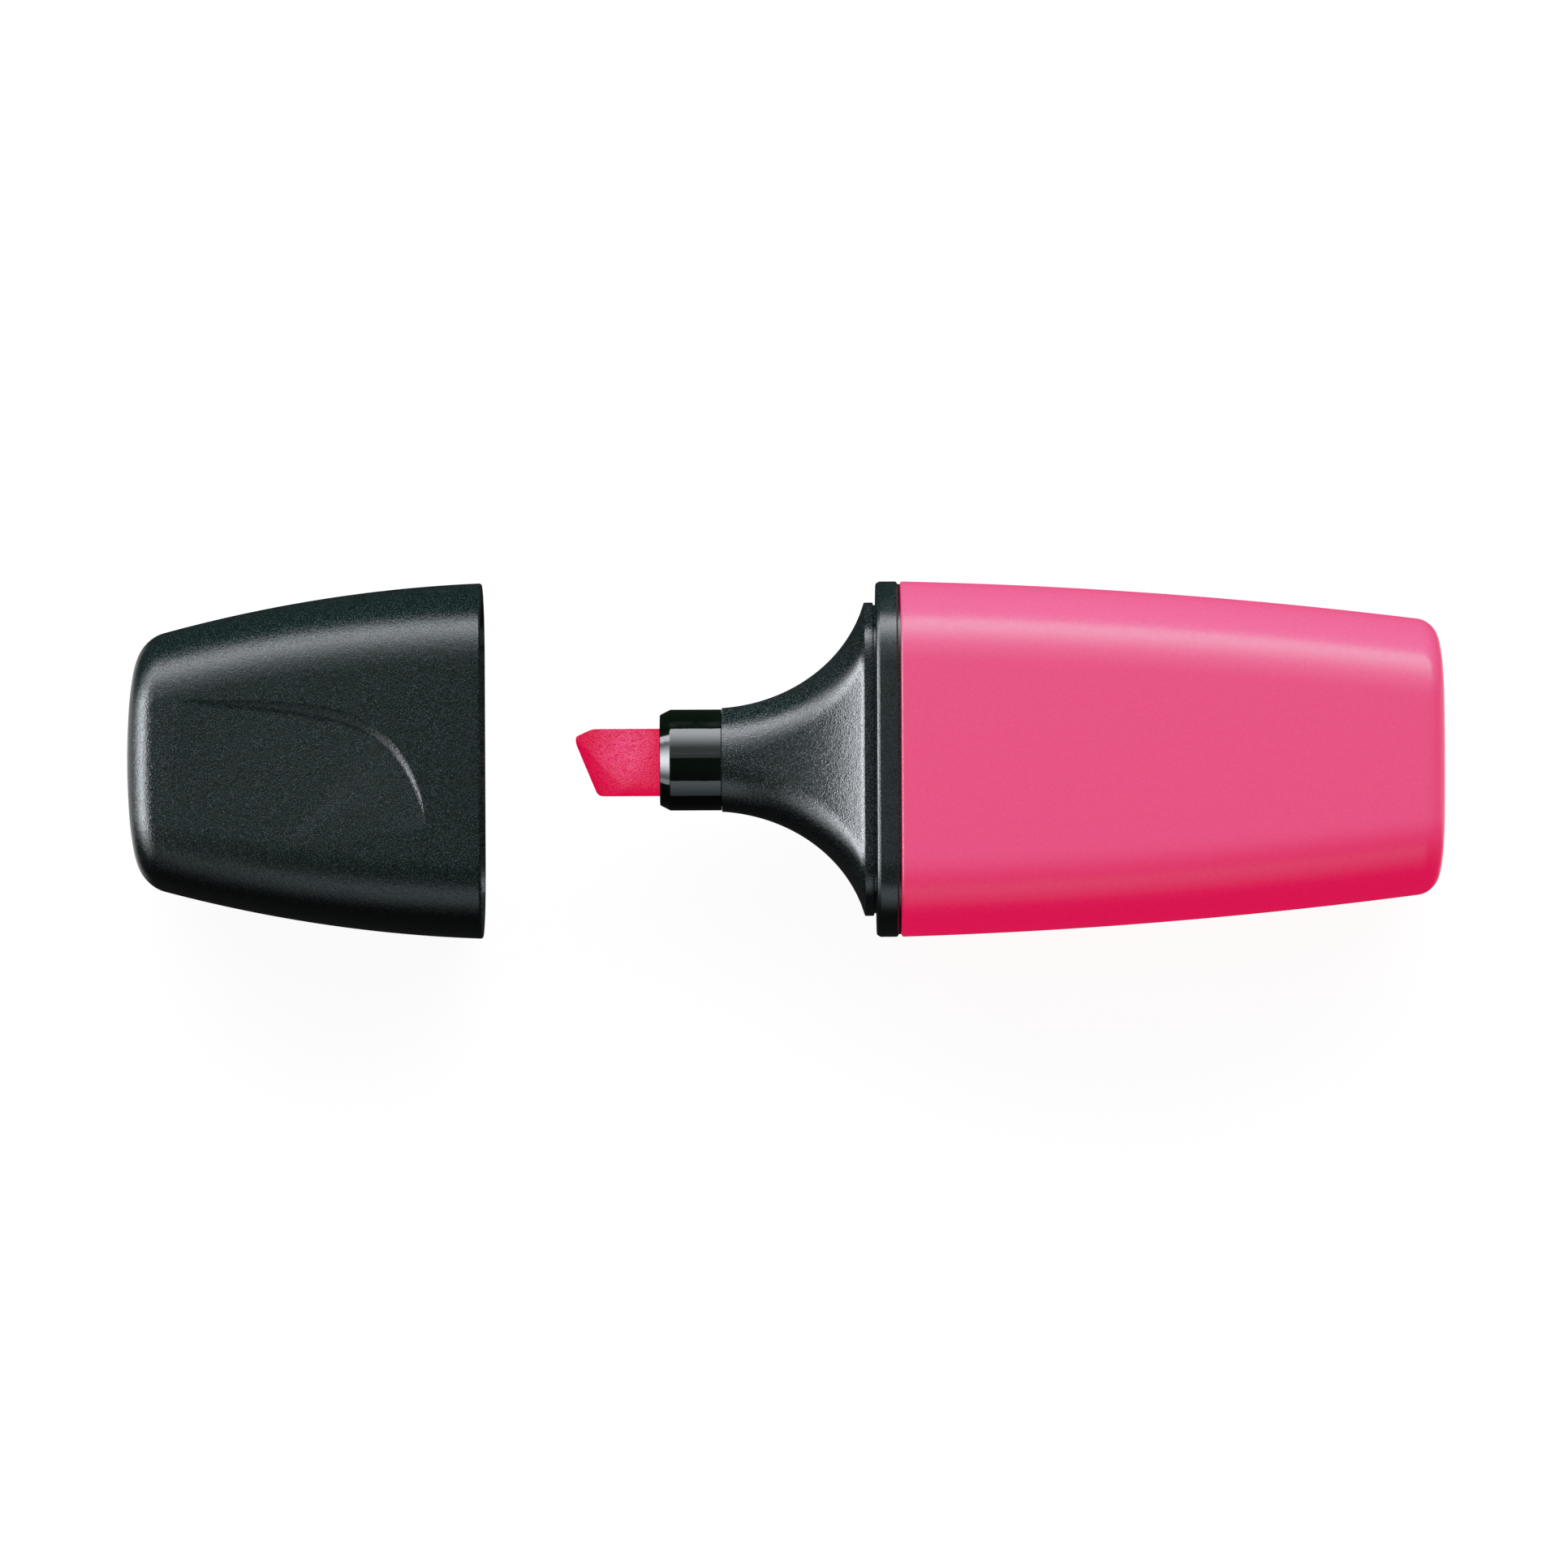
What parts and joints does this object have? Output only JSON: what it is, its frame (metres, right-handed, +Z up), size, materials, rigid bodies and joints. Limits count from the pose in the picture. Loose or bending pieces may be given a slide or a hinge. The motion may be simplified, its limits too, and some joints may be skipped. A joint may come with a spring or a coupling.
{
  "type": "highlighter pen",
  "caption": "Flat pocket highlighter lying on a broad face: neon barrel, black collar and flared nose, felt chisel nib, and a tapered black cap that slides on and off along the axis.",
  "frame": {"origin": "on the table, under the middle of the pen and its pulled-off cap", "axes": "+X along the pen from the cap's closed end to the barrel's tail, +Y across the broad face, +Z up from the table through the broad faces"},
  "size_m": [0.0996, 0.027, 0.0164],
  "materials": {
    "barrel": "neon pink moulded plastic with a satin grain",
    "black_trim": "black moulded plastic with a fine sparkling grain",
    "nib_tube": "polished black plastic",
    "nib": "porous felt soaked with pink ink",
    "ink_core": "bonded fibre soaked with pink ink",
    "core_wrap": "thin clear film",
    "cap": "black moulded plastic with a fine sparkling grain",
    "sealing_cup": "soft black moulded plastic"
  },
  "bodies": {
    "pen": {"barrel_shell": "barrel", "collar": "black_trim", "nose": "black_trim", "nib_tube": "nib_tube", "chisel_nib": "nib", "ink_core": "ink_core", "core_wrap": "core_wrap"},
    "cap": {"cap_shell": "cap", "sealing_cup": "sealing_cup"}
  },
  "joints": [
    {"name": "cap_slide", "type": "slide", "parent": "pen", "child": "cap", "axis": [1, 0, 0], "range_m": [0, 0.02956]}
  ]
}
